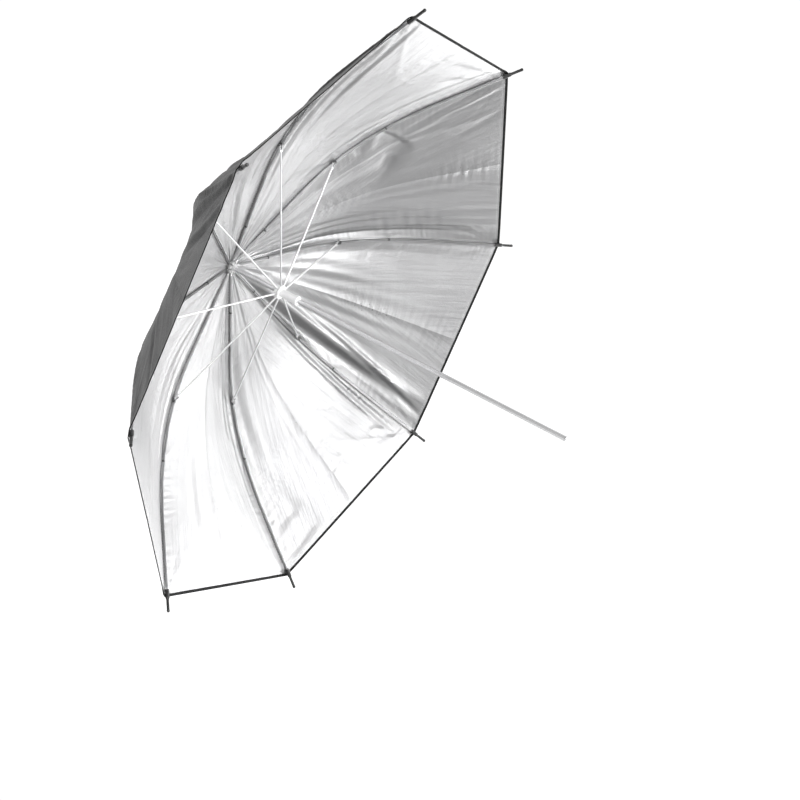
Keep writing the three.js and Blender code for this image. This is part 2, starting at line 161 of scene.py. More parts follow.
def piece(name, points, faces, materials, slots=None, smooth=True, uv=None):
    """New object; slots holds each face's material, and uv each point's place on the flat cloth."""
    mesh = bpy.data.meshes.new(name)
    mesh.from_pydata([tuple(p) for p in points], [], [tuple(int(i) for i in f) for f in faces])
    for m in materials:
        mesh.materials.append(m)
    if slots is not None:
        mesh.polygons.foreach_set("material_index", np.asarray(slots, np.int32))
    mesh.polygons.foreach_set("use_smooth", np.full(len(mesh.polygons), smooth))
    if uv is not None:
        corner = np.zeros(len(mesh.loops), np.int32)
        mesh.loops.foreach_get("vertex_index", corner)
        layer = mesh.uv_layers.new(name="UVMap")
        layer.data.foreach_set("uv", np.asarray(uv, np.float32)[corner].ravel())
    mesh.validate()
    mesh.update()
    obj = bpy.data.objects.new(name, mesh)
    bpy.context.scene.collection.objects.link(obj)
    return obj


def placed(points, matrix):
    """Points carried by a 4x4."""
    return np.asarray(points) @ matrix[:3, :3].T + matrix[:3, 3]


def sharpen(obj, degrees=35):
    """Shades as sharp the edges that turn more than an angle."""
    obj.data.set_sharp_from_angle(angle=math.radians(degrees))
    return obj


def outward(obj):
    """Turns all faces over if the body's signed volume is negative."""
    mesh = obj.data
    mesh.calc_loop_triangles()
    co = np.array([v.co for v in mesh.vertices])
    tri = np.array([t.vertices for t in mesh.loop_triangles])
    a, b, c = co[tri[:, 0]], co[tri[:, 1]], co[tri[:, 2]]
    if (a * np.cross(b, c)).sum() < 0:
        mesh.flip_normals()
    return obj


def tube_faces(base, sides, rings):
    """Faces of a closed tube whose rings of points follow each other from index base on."""
    faces = []
    for i in range(rings - 1):
        low, high = base + sides * i, base + sides * (i + 1)
        for j in range(sides):
            m = (j + 1) % sides
            faces.append([low + j, low + m, high + m, high + j])
    faces.append([base + j for j in range(sides)][::-1])
    faces.append([base + sides * (rings - 1) + j for j in range(sides)])
    return faces


def sweep(name, section, path, frames, material):
    """Closed body: a section of (x, y) points carried along a path; frames hold each step's x and y."""
    section = np.asarray(section)
    count, steps = len(section), len(path)
    points = np.concatenate([
        p + section[:, :1] * f[0] + section[:, 1:2] * f[1] for p, f in zip(path, frames)
    ])
    faces = tube_faces(0, count, steps)
    return sharpen(outward(piece(name, points, faces, [material])))


# ---- materials --------------------------------------------------------------------------------------

class Shader:
    """A Principled material with short helpers for its procedural nodes."""

    def __init__(self, name, **sockets):
        self.material = bpy.data.materials.new(name)
        self.material.use_nodes = True
        self.tree = self.material.node_tree
        self.bsdf = self.tree.nodes["Principled BSDF"]
        for socket, value in sockets.items():
            self.bsdf.inputs[socket.replace("_", " ")].default_value = value

    def node(self, kind, **inputs):
        """New node; each input is a value or another node's output."""
        n = self.tree.nodes.new(kind)
        for socket, value in inputs.items():
            target = n.inputs[socket.replace("_", " ")]
            if isinstance(value, bpy.types.NodeSocket):
                self.tree.links.new(value, target)
            else:
                target.default_value = value
        return n

    def noise(self, scale, detail, stretch=None, uv=False):
        """Noise in cycles per metre, stretched by axis, over the piece's own place or its flat cloth."""
        source = self.node("ShaderNodeTexCoord").outputs["UV" if uv else "Object"]
        if stretch:
            source = self.node("ShaderNodeMapping", Vector=source, Scale=stretch).outputs["Vector"]
        return self.node("ShaderNodeTexNoise", Vector=source, Scale=scale, Detail=detail).outputs["Fac"]

    def ramp(self, fac, low, high, start=0.3, end=0.7):
        """Colour that runs from low to high as fac goes from start to end."""
        ramp = self.node("ShaderNodeValToRGB", Fac=fac)
        for element, colour, at in zip(ramp.color_ramp.elements, (low, high), (start, end)):
            element.position = at
            element.color = (*colour, 1)
        return ramp.outputs["Color"]

    def colour(self, socket):
        self.tree.links.new(socket, self.bsdf.inputs["Base Color"])

    def roughness(self, fac, low, high):
        span = self.node("ShaderNodeMapRange", Value=fac)
        span.inputs["To Min"].default_value = low
        span.inputs["To Max"].default_value = high
        self.tree.links.new(span.outputs["Result"], self.bsdf.inputs["Roughness"])

    def bump(self, *layers):
        """Layers of (height socket, depth in metres)."""
        normal = None
        for height, depth in layers:
            n = self.node("ShaderNodeBump", Height=height, Strength=1.0, Distance=depth)
            if normal is not None:
                self.tree.links.new(normal, n.inputs["Normal"])
            normal = n.outputs["Normal"]
        self.tree.links.new(normal, self.bsdf.inputs["Normal"])


def grey(value, tint=0.0):
    """A grey, with its blue raised by a share."""
    return (value, value, value * (1 + tint))


def weave(shader, pitch):
    """Height of a plain weave: warp and weft waves that cross, from the piece's UV in metres."""
    uv = shader.node("ShaderNodeTexCoord").outputs["UV"]
    waves = []
    for direction in ("X", "Y"):
        wave = shader.node("ShaderNodeTexWave", Vector=uv, Scale=0.5 / pitch, Distortion=0.6)
        wave.bands_direction = direction
        waves.append(wave.outputs["Fac"])
    both = shader.tree.nodes.new("ShaderNodeMath")
    for wave, socket in zip(waves, both.inputs):
        shader.tree.links.new(wave, socket)
    return both.outputs[0]


def crumpled(shader):
    """Height of small sharp facets, as in cloth that was packed away, in patches."""
    place = shader.node("ShaderNodeTexCoord").outputs["Object"]
    bend = shader.node("ShaderNodeTexNoise", Vector=place, Scale=60.0, Detail=2.0).outputs["Color"]
    moved = shader.node("ShaderNodeVectorMath")
    moved.operation = "MULTIPLY_ADD"
    shader.tree.links.new(bend, moved.inputs[0])
    moved.inputs[1].default_value = (8 * MM,) * 3
    shader.tree.links.new(place, moved.inputs[2])
    cells = shader.node("ShaderNodeTexVoronoi", Vector=moved.outputs["Vector"], Scale=120.0)
    patches = shader.node("ShaderNodeMapRange", Value=shader.noise(7.0, 2.0))
    patches.inputs["From Min"].default_value = 0.5
    patches.inputs["From Max"].default_value = 0.66
    height = shader.node("ShaderNodeMath")
    height.operation = "MULTIPLY"
    shader.tree.links.new(cells.outputs["Distance"], height.inputs[0])
    shader.tree.links.new(patches.outputs["Result"], height.inputs[1])
    return height.outputs[0]


def silver_satin():
    """The cloth's inner face."""
    s = Shader("silver_satin", Metallic=0.86, Roughness=0.38)
    s.colour(s.ramp(s.noise(6.0, 4.0), grey(0.30, 0.01), grey(0.37, 0.01)))
    s.roughness(s.noise(9.0, 4.0, (4, 0.6, 1), uv=True), 0.3, 0.46)
    s.bump(
        (s.noise(30.0, 3.0, (3.0, 0.22, 1), uv=True), 1.0 * MM),
        (crumpled(s), 0.3 * MM),
        (s.noise(170.0, 4.0, (1.5, 0.7, 1), uv=True), 0.16 * MM),
        (weave(s, WEAVE_PITCH), 0.03 * MM),
    )
    return s.material


def black_taffeta():
    """The cloth's outer face, with the hem's turned-in cloth in grey."""
    s = Shader("black_taffeta", Roughness=0.5, Sheen_Weight=0.06, Sheen_Roughness=0.35,
               Specular_IOR_Level=0.26)
    flat = s.node("ShaderNodeTexCoord").outputs["UV"]
    arc = s.node("ShaderNodeSeparateXYZ", Vector=flat).outputs["Y"]
    hem = s.node("ShaderNodeMapRange", Value=arc)
    fold = RIB_LENGTH - HEM_FOLD
    hem.inputs["From Min"].default_value = fold
    hem.inputs["From Max"].default_value = fold + 1 * MM
    cloth = s.ramp(s.noise(5.0, 5.0), grey(0.012, 0.03), grey(0.034, 0.03), 0.35, 0.65)
    blend = s.node("ShaderNodeMix", Factor=hem.outputs["Result"])
    blend.data_type = "RGBA"
    s.tree.links.new(cloth, blend.inputs[6])
    s.tree.links.new(s.ramp(s.noise(40.0, 3.0), grey(0.12), grey(0.17)), blend.inputs[7])
    s.colour(blend.outputs[2])
    s.roughness(s.noise(16.0, 4.0, (3.0, 0.3, 1), uv=True), 0.34, 0.6)
    s.bump(
        (s.noise(30.0, 3.0, (3.0, 0.3, 1), uv=True), 1.0 * MM),
        (weave(s, WEAVE_PITCH), 0.04 * MM),
    )
    return s.material


def black_binding():
    s = Shader("black_binding", Roughness=0.8, Specular_IOR_Level=0.12)
    s.colour(s.ramp(s.noise(160.0, 4.0), grey(0.006), grey(0.02)))
    s.bump((s.noise(900.0, 2.0), 0.12 * MM))
    return s.material


def sewing_thread(name, low, high):
    s = Shader(name, Roughness=0.6, Specular_IOR_Level=0.2)
    s.colour(s.ramp(s.noise(400.0, 2.0), grey(low), grey(high)))
    s.bump((s.noise(2500.0, 2.0), 0.06 * MM))
    return s.material


def moulded(name, low, high, rough=(0.32, 0.48)):
    s = Shader(name, Specular_IOR_Level=0.5)
    s.colour(s.ramp(s.noise(60.0, 3.0), grey(low), grey(high)))
    s.roughness(s.noise(220.0, 3.0), *rough)
    s.bump((s.noise(1400.0, 2.0), 0.02 * MM))
    return s.material


def metal(name, low, high, rough, along=(1, 1, 1), metallic=1.0, edge=1.0):
    """Metal with fine drawn lines: along squeezes the noise into streaks, edge dims grazing reflections."""
    s = Shader(name, Metallic=metallic, Specular_Tint=(edge, edge, edge, 1))
    s.colour(s.ramp(s.noise(25.0, 4.0), grey(low, 0.01), grey(high, 0.01)))
    s.roughness(s.noise(90.0, 4.0, along), *rough)
    s.bump((s.noise(810.0, 3.0, along), 0.015 * MM))
    return s.material


SILVER = silver_satin()
BLACK = black_taffeta()
BINDING = black_binding()
THREAD = sewing_thread("grey_thread", 0.42, 0.6)
DARK_THREAD = sewing_thread("dark_thread", 0.06, 0.14)
WHITE_PLASTIC = moulded("white_moulding", 0.86, 0.93)
BLACK_PLASTIC = moulded("black_moulding", 0.012, 0.028, (0.28, 0.45))
CHROME = metal("plated_tube", 0.88, 0.95, (0.1, 0.2), (1, 0.04, 1), metallic=0.78, edge=0.03)
RIB_STEEL = metal("rib_channel_steel", 0.5, 0.66, (0.3, 0.45), edge=0.3)
GREY_PLASTIC = moulded("grey_moulding", 0.4, 0.52, (0.36, 0.52))
DARK_STEEL = metal("dark_fittings", 0.08, 0.16, (0.3, 0.5))
COATED_ROD = metal("coated_rod", 0.62, 0.76, (0.25, 0.42), metallic=0.35)


# ---- canopy -----------------------------------------------------------------------------------------

HALF_COLUMNS = 46  # of a cloth's grid, from the rib to the crease
ROWS = 200  # from the crown to the hem
STREAKS = 22  # of each gore
PHASE = 6.28  # span of a random phase, in radians

# Depths in mm, by gore: of the crinkles that run across it, and of those along its middle fold. A gore
# that isn't listed has the plain depth.
CRINKLED = {2: 0.5, 3: 0.3, 5: 0.03, 6: 0.05}
PLAIN_CRINKLE = 0.14
CREASED = {2: 0.38, 3: 0.4, 4: 0.25}
PLAIN_CREASE = 0.15

# Folds of each gore, by the rib it starts from: place across the gore (-1 on its first rib, 1 on the
# next), drift of that place per share of length, width and depth in mm, first and last share.
# A positive width is a ridge, or a groove where its depth is negative. A negative width is a roll that
# leans over.
FOLDS = {
    1: [(-0.86, -0.25, -7, 3.2, 0.30, 0.97), (-0.70, -0.55, -6, -2.4, 0.60, 1.00),
        (0.80, 0.45, -8, 2.6, 0.55, 1.00), (0.62, 0.80, 10, -2.0, 0.62, 1.00),
        (0.90, 0.05, 5, 1.4, 0.15, 0.70), (-0.55, -0.20, 9, 1.5, 0.20, 0.60)],
    2: [(-0.84, -0.55, -7, -3.0, 0.70, 0.96), (-0.80, -0.30, 3, 1.6, 0.70, 1.00),
        (-0.62, -0.10, 2, -1.4, 0.08, 0.72), (-0.55, -1.10, 6, 1.2, 0.84, 1.00),
        (0.50, 0.10, 3, 0.9, 0.15, 0.95), (0.62, 0.10, -4, 1.1, 0.20, 0.90),
        (0.74, 0.05, 3, -1.0, 0.25, 0.98), (0.84, 0.05, -4, 1.3, 0.20, 0.95),
        (0.60, 0.00, 26, 5.6, 0.02, 0.66), (0.86, 0.00, 13, 5.4, 0.20, 0.97)],
    3: [(-0.62, 0.10, -9, 1.2, 0.02, 0.45), (-0.36, 0.10, -8, 1.3, 0.02, 0.55),
        (-0.10, 0.05, 7, 1.2, 0.02, 0.60), (0.16, 0.05, -8, 1.4, 0.02, 0.70),
        (0.44, 0.10, 6, 1.8, 0.02, 0.62), (0.72, 0.05, -14, 9.0, 0.04, 0.90),
        (0.66, 0.55, -6, 3.4, 0.45, 1.00), (0.90, 0.05, 6, 1.5, 0.10, 0.95),
        (-0.80, 0.00, 18, 4.0, 0.08, 0.85)],
    4: [(0.14, 0.05, 2, -1.0, 0.20, 0.95), (0.74, -0.10, -12, 1.2, 0.25, 0.62),
        (-0.88, 0.05, -6, 2.0, 0.10, 0.90)],
    5: [(-0.88, 0.02, -6, 2.0, 0.04, 0.55), (-0.72, 0.05, 4, 1.2, 0.03, 0.50),
        (-0.60, 0.02, -5, 1.4, 0.03, 0.46), (-0.84, -0.30, 2, -1.3, 0.60, 0.98),
        (0.30, 0.05, -9, 1.0, 0.10, 0.80)],
    6: [(-0.70, 0.10, -6, 1.6, 0.03, 0.60), (-0.40, 0.10, 5, 1.2, 0.03, 0.70),
        (-0.10, 0.05, -5, 1.2, 0.10, 0.90), (0.50, 0.05, 6, 1.4, 0.05, 0.80)],
    7: [(0.86, 0.00, 22, 8.0, 0.42, 0.72), (0.78, 0.75, -8, 3.2, 0.58, 1.00),
        (0.50, 1.30, -9, 3.0, 0.66, 1.00), (0.90, 0.20, 4, 2.4, 0.50, 1.00),
        (-0.50, -0.60, -8, 2.2, 0.60, 1.00)],
    8: [(-0.80, -0.35, -7, 2.6, 0.60, 1.00), (0.82, 0.30, -7, 2.6, 0.55, 1.00),
        (0.20, 0.10, 8, 1.6, 0.10, 0.80)],
}


# Short folds of a gore: where each starts and ends, as (place across, share) pairs, and its width and
# depth in mm. Its side towards the hem is the steep one.
SHORT_FOLDS = {
    2: [((-0.99, 0.585), (-0.42, 0.690), 15, 11.0), ((-0.98, 0.570), (-0.80, 0.495), 10, 5.0),
        ((-0.52, 0.602), (-0.36, 0.640), 8, 4.0), ((-0.30, 0.90), (-0.55, 0.80), 7, 1.2)],
    4: [((0.95, 0.868), (0.50, 0.850), 15, 2.6), ((0.94, 0.972), (0.36, 0.930), 16, 2.8),
        ((-0.90, 0.95), (-0.62, 0.90), 7, 1.2), ((-0.90, 0.90), (-0.66, 0.84), 7, 1.0)],
    1: [((0.93, 0.93), (0.45, 0.86), 9, 1.8), ((0.93, 0.97), (0.20, 0.92), 8, 1.4)],
}
CALM = {3: 0.5, 4: 0.45, 5: 0.4, 6: 0.5}  # gores whose random folds are softer than the others'


def half_width(share):
    """Distance along the chord from a rib to the gore's middle."""
    return rib_at(share)[0] * math.sin(GORE / 2)


def bell(x, width):
    return np.exp(-(x / width) ** 2)


def window(x, start, end, soft):
    """1 from start to end and 0 outside, with soft sides."""
    return (1 + np.tanh((x - start) / soft / 2)) * (1 + np.tanh((end - x) / soft / 2)) / 4


def long_folds(gore, w, share):
    """The gore's own folds, as FOLDS lists them, in metres."""
    d = np.zeros_like(w)
    for at, drift, width, depth, start, end in FOLDS[gore]:
        x = (w - at - drift * (share - (start + end) / 2)) * half_width(share) / (abs(width) * MM)
        shape = np.exp(-x ** 2) * (1.0 if width > 0 else 2.0 * x)
        d += depth * MM * shape * window(share, start, end, 0.1 * (end - start))
    return d


def short_folds(gore, w, share):
    """The gore's short folds, as SHORT_FOLDS lists them, in metres."""
    d = np.zeros_like(w)
    x, y = w * half_width(share), share * RIB_LENGTH
    for (w_start, s_start), (w_end, s_end), width, depth in SHORT_FOLDS.get(gore, ()):
        start = np.array([w_start * half_width(s_start), s_start * RIB_LENGTH])
        run = np.array([w_end * half_width(s_end), s_end * RIB_LENGTH]) - start
        length = np.hypot(*run)
        along = ((x - start[0]) * run[0] + (y - start[1]) * run[1]) / length ** 2
        across = ((x - start[0]) * run[1] - (y - start[1]) * run[0]) / length * np.sign(run[0])
        spread = width * MM * (0.4 + 0.6 * np.clip(along, 0, 1))
        across = -across / np.where(across < 0, spread, 5 * spread)
        d += depth * MM * (spread / (width * MM)) * bell(across, 1) * window(along, 0.02, 0.85, 0.07)
    return d


def streaks(rng, w, share):
    """Long soft folds that run from the crown towards the hem, in metres."""
    d = np.zeros_like(w)
    for _ in range(STREAKS):
        at, drift = rng.uniform(-0.92, 0.92), rng.uniform(-0.12, 0.12)
        width = rng.uniform(2.5, 9.0) * MM
        start = rng.uniform(-0.1, 0.6)
        end = start + rng.uniform(0.2, 0.55)
        depth = width * rng.uniform(0.05, 0.13) * rng.choice([-1, 1])
        x = (w - at - drift * (share - start)) * half_width(share) / width
        d += depth * np.exp(-x ** 2) * window(share, start, end, 0.05)
    return d


def crown_pleats(rng, w, share):
    """Gathers that spread from the crown."""
    depth, reach = 0.5 * MM, 0.16
    phase = rng.uniform(0, PHASE, 3)
    folds = sum(np.cos(n * math.pi * w + p) for n, p in zip((3, 5, 8), phase))
    return depth * folds * np.exp(-share / reach) * (share > 0)


def tip_fans(rng, side, share):
    """Folds that fan out from a rib's tip; side is the distance from that rib along the chord."""
    back = (1 - share) * RIB_LENGTH
    reach = np.hypot(back, side)
    angle = np.arctan2(side, back)
    d = np.zeros_like(side)
    for base in (0.12, 0.3, 0.52, 0.8):
        at = base + rng.uniform(-0.04, 0.04)
        depth = rng.uniform(0.8, 1.9) * rng.choice([-1, 1]) * MM
        length = rng.uniform(0.05, 0.13)
        d += depth * bell(angle - at, 0.06) * (reach / (40 * MM)) * np.exp(-reach / length * 1.6)
    return d


def tie_dents(rng, side, share):
    """Dimples beside the places where the fabric is tied to its rib."""
    d = np.zeros_like(side)
    for at, depth in zip(TIES, (1.2 * MM, 1.8 * MM)):
        along = (share - at) * RIB_LENGTH
        for lean in (-0.9, 0.15, 1.1):
            size = depth * rng.uniform(0.3, 1.1)
            ridge = bell(along - lean * side, 6 * MM + 0.25 * side)
            d -= size * ridge * (side / (12 * MM)) * np.exp(-side / (16 * MM))
    return d


def cross_crinkles(rng, gore, w, share):
    """Short folds across a gore, in the patches that the cloth was packed flat in."""
    depth = CRINKLED.get(gore, PLAIN_CRINKLE) * MM
    arc = share * RIB_LENGTH
    d = np.zeros_like(w)
    for place, reach, start, end, pitch in ((0.0, 0.16, 0.80, 0.98, 21), (0.70, 0.2, 0.52, 0.80, 34)):
        wave = np.sin(2 * math.pi * arc / (pitch * MM) + 6 * w + rng.uniform(0, PHASE))
        wave += 0.6 * np.sin(2 * math.pi * arc / (0.62 * pitch * MM) - 5 * w + rng.uniform(0, PHASE))
        patch = bell(w - place, reach) * window(share, start, end, 0.02)
        d += depth * wave * patch
    return d


def seam_pucker(rng, side, share):
    """Short ripples across the seam, where its thread gathers the cloth."""
    depth, short_pitch, long_pitch = 0.2 * MM, 12.5 * MM, 19.3 * MM
    arc = share * RIB_LENGTH
    strength = 0.55 + 0.45 * np.sin(arc * 23 + rng.uniform(0, 6)) * np.sin(arc * 61 + rng.uniform(0, 6))
    ripple = np.cos(2 * math.pi * arc / short_pitch + 3.2 * np.sin(arc * 47) + rng.uniform(0, 6))
    ripple += 0.7 * np.cos(2 * math.pi * arc / long_pitch + 2.6 * np.sin(arc * 31) + rng.uniform(0, 6))
    return depth * strength * ripple * (side / (5 * MM)) * np.exp(1 - side / (9 * MM))


def crease(rng, gore, middle, share):
    """The sharp fold down a gore's middle, with the short crinkles that cross it."""
    depth = CREASED.get(gore, PLAIN_CREASE) * MM
    arc = share * RIB_LENGTH
    ridge = -1.5 * MM * np.exp(-middle / (6 * MM))
    waves = sum(
        np.sin(arc * f + lean * middle * 300 + rng.uniform(0, PHASE))
        for f, lean in ((540, 2.0), (760, -1.6), (970, 0.6), (330, 0.4))
    )
    patches = 0.5 + 0.5 * np.sin(arc * 21 + rng.uniform(0, PHASE))
    patches *= np.exp(-middle / (18 * MM)) * window(share, 0.3, 0.97, 0.04)
    return ridge + depth * waves * patches


def gore_height(gore, w, share):
    """Rise of a gore's cloth to the outside over its flat chord, in metres; w runs from -1 to 1."""
    rng = np.random.default_rng(500 + gore)
    width = half_width(share)
    middle = np.abs(w) * width
    edge = (1 - np.abs(w)) * width
    d = -GORE_SAG * (1 - w ** 2) * np.sin(math.pi * np.clip(share, 0, 1) ** 1.3)
    calm = CALM.get(gore, 1.0)
    d += calm * streaks(rng, w, share) + long_folds(gore, w, share) + short_folds(gore, w, share)
    d += crown_pleats(rng, w, share)
    d += crease(rng, gore, middle, share) + cross_crinkles(rng, gore, w, share)
    for sign in (-1, 1):
        side = (1 - sign * w) * width
        fan = calm * tip_fans(rng, side, share)
        dents = tie_dents(rng, side, share)
        pucker = seam_pucker(rng, side, share)
        d += np.where(sign * w >= 0, fan + dents + pucker, 0) * np.clip(middle / (12 * MM), 0, 1)
    flat_at_hem = 1 - 0.75 * bell((1 - share) * RIB_LENGTH, 14 * MM)
    return d * flat_at_hem * (1 - np.exp(-edge / (5 * MM)))


def canopy_point(k, v, share, above=0.0):
    """Row-frame points above panel k's inner face; v is 0 on the rib, -1 and 1 on the gores' creases."""
    radius, depth, slope = rib_at(share)
    to_tip = np.clip(1.5 - (1 - share) * RIB_LENGTH / TIP_SLEEVE, 0, 1)
    over_tip = to_tip ** 2 * (3 - 2 * to_tip) * bell(v * half_width(share), TIP_WIDTH)
    lift = FABRIC_LIFT + TIP_EXTRA_LIFT * over_tip
    radius = radius + lift * np.sin(slope)
    y = -depth + lift * np.cos(slope)
    gore = np.where(v >= 0, k, (k - 2) % RIBS + 1)
    w = np.where(v >= 0, v - 1, v + 1)
    half = math.sin(GORE / 2)
    x = v * radius * half * math.cos(GORE / 2)
    z = radius * (1 - np.abs(v) * half ** 2)
    corner = half * np.abs(v) * half_width(share)
    rise = RIDGE_ROUNDING * (1 - np.exp(-corner / RIDGE_ROUNDING))
    rise *= np.clip(share / RIDGE_START, 0, 1) ** 2
    for g in np.unique(gore):
        here = gore == g
        rise[here] += gore_height(int(g), w[here], share[here])
    lean = np.arctan2(np.sin(slope), np.cos(slope) * math.cos(GORE / 2))
    turn = np.sign(v) * GORE / 2
    out = np.stack([np.sin(lean) * np.sin(turn), np.cos(lean), np.sin(lean) * np.cos(turn)], -1)
    seam = SEAM_STEP * window(v * half_width(share), -SEAM_HALF_WIDTH, SEAM_HALF_WIDTH, STEP_SOFTNESS)
    hem = HEM_STEP * window((1 - share) * RIB_LENGTH, -1, HEM_FOLD, STEP_SOFTNESS)
    points = np.stack([x, y, z], -1) + out * (rise - seam + hem + above)[..., None]
    return to_row(points.reshape(-1, 3), rib_angle(k)).reshape(points.shape)


def panel_grid():
    """Shares and places across of a panel's points, closest together at the rib and at the hem."""
    t = np.linspace(0, 1, HALF_COLUMNS + 1)
    half = 0.35 * t ** 2 + 0.65 * t
    v = np.concatenate([-half[:0:-1], half])
    rows = np.linspace(0, 1, ROWS)
    share = FABRIC_START + (1 - FABRIC_START) * (0.82 * rows + 0.18 * (1 - (1 - rows) ** 3))
    return np.meshgrid(share, v, indexing="ij")


def folds_with_rib(obj, k):
    """Attaches a piece to rib k's body and gives it a mesh of its own."""
    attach(obj, f"rib_{k}")
    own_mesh(obj)


def two_faced(name, inner, outer, materials, uv=None, wraps=False):
    """Closed sheet from two equal grids of points: its inner face shows the first material."""
    rows, columns = inner.shape[:2]
    count = rows * columns
    at = np.arange(count).reshape(rows, columns)
    if wraps:
        at = np.concatenate([at, at[:, :1]], 1)
    quads = np.stack([at[:-1, :-1], at[:-1, 1:], at[1:, 1:], at[1:, :-1]], -1).reshape(-1, 4)
    rims = [at[0], at[-1][::-1]] if wraps else [
        np.concatenate([at[0], at[1:, -1], at[-1, -2::-1], at[-2::-1, 0]])]
    rim = np.concatenate([
        np.stack([r[1:], r[:-1], r[:-1] + count, r[1:] + count], -1) for r in rims])
    faces = np.concatenate([quads, quads[:, ::-1] + count, rim])
    slots = np.concatenate([np.zeros(len(quads), int), np.ones(len(quads) + len(rim), int)])
    points = np.concatenate([inner.reshape(-1, 3), outer.reshape(-1, 3)])
    if uv is not None:
        uv = np.concatenate([uv.reshape(-1, 2)] * 2)
    obj = outward(piece(name, points, faces, materials, slots % len(materials), uv=uv))
    return sharpen(obj, 60)


def canopy_panel(k):
    """The cloth of rib k, from the crease of one gore beside it to the crease of the other."""
    share, v = panel_grid()
    inner = canopy_point(k, v, share)
    outer = canopy_point(k, v, share, FABRIC_THICKNESS)
    uv = np.stack([v * half_width(share), share * RIB_LENGTH], -1)
    return two_faced(f"canopy_cloth_{k}", inner, outer, [SILVER, BLACK], uv)


def hem_binding(k):
    """A folded tape around the panel's hem, slightly thicker than the cloth."""
    v = np.linspace(-1, 1, 61)
    share = np.full_like(v, 1.0)
    edge = canopy_point(k, v, share)
    inner = canopy_point(k, v, share - BINDING_WIDTH / RIB_LENGTH)
    path = edge - (edge - inner) * BINDING_REACH
    across = (edge - inner) / np.linalg.norm(edge - inner, axis=1, keepdims=True)
    along = np.gradient(path, axis=0)
    normal = np.cross(along, across)
    normal /= np.linalg.norm(normal, axis=1, keepdims=True)
    shift = normal * np.where(normal[:, 1:2] > 0, 1, -1) * FABRIC_THICKNESS / 2
    a = np.linspace(0, 2 * math.pi, 14, endpoint=False)
    section = np.stack([BINDING_WIDTH / 2 * np.cos(a), BINDING_HALF_THICKNESS * np.sin(a)], 1)
    frames = list(zip(across, normal))
    return sweep(f"hem_binding_{k}", section, path + shift, frames, BINDING)


def stitch_row(starts, ends, radius, points, faces):
    """Adds a row of short rounded stitches, each from a start to its end."""
    sides = 6
    rings = ((0.0, 0.35), (0.18, 1.0), (0.82, 1.0), (1.0, 0.35))  # share of the length, share of the radius
    ring = [(math.cos(a), math.sin(a)) for a in np.arange(sides) * 2 * math.pi / sides]
    for p, q in zip(starts, ends):
        axis = (q - p) / np.linalg.norm(q - p)
        first = np.cross(axis, (0, 1, 0))
        first /= np.linalg.norm(first)
        second = np.cross(axis, first)
        base = len(points)
        for along, scale in rings:
            centre = p + (q - p) * along
            points.extend(centre + radius * scale * (c * first + s * second) for c, s in ring)
        faces.extend(tube_faces(base, sides, len(rings)))


def stitches(k):
    """Two rows of thread beside the rib and one along the hem's fold, on the inner face."""
    pitch, length, radius = 4.8 * MM, 3.1 * MM, 0.44 * MM
    first, run, inset = 0.03, 0.93, 1.1 * MM  # of a seam's row; the first two are shares of the rib
    points, faces = [], []
    starts = first + np.arange(int(RIB_LENGTH * run / pitch)) * pitch / RIB_LENGTH
    for side in (-1, 1):
        v = side * (SEAM_HALF_WIDTH - inset) / half_width(starts)
        ends = canopy_point(k, v, starts + length / RIB_LENGTH)
        stitch_row(canopy_point(k, v, starts), ends, radius, points, faces)
    slots = [0] * len(faces)
    width = float(half_width(1.0))
    v = np.arange(-width + 2 * MM, width - 4 * MM, pitch) / width
    hem = np.full_like(v, 1 - (HEM_FOLD - 1 * MM) / RIB_LENGTH)
    ends = canopy_point(k, v + length / width, hem)
    stitch_row(canopy_point(k, v, hem), ends, 0.75 * radius, points, faces)
    slots += [1] * (len(faces) - len(slots))
    return piece(f"seam_stitches_{k}", points, faces, [DARK_THREAD, THREAD], slots)


def rib_ties(k):
    """Thread wound round the rib and through the cloth, at each tie."""
    points, faces = [], []
    turns, per_turn, sides = 4, 16, 6
    wide, high, thread = 1.95 * MM, 2.1 * MM, 0.32 * MM  # half axes of a turn, and the thread's radius
    for share in TIES:
        radius, depth, slope = (float(v) for v in rib_at(share))
        place = frame_at(rib_angle(k), depth, radius, slope)
        turn = np.arange(turns * per_turn + 1) / per_turn
        a = turn * 2 * math.pi
        out = np.stack([np.cos(a), np.sin(a), np.zeros_like(a)], 1)
        path = np.stack([wide * np.cos(a), high * np.sin(a), (turn - turns / 2) * 2.4 * thread], 1)
        base = len(points)
        for p, n in zip(path, out):
            for b in np.arange(sides) * 2 * math.pi / sides:
                ring = p + thread * (math.cos(b) * n + math.sin(b) * np.array([0, 0, 1]))
                points.append(placed(ring, place))
        faces.extend(tube_faces(base, sides, len(path)))
    obj = piece(f"rib_ties_{k}", points, faces, [DARK_THREAD])
    folds_with_rib(obj, k)


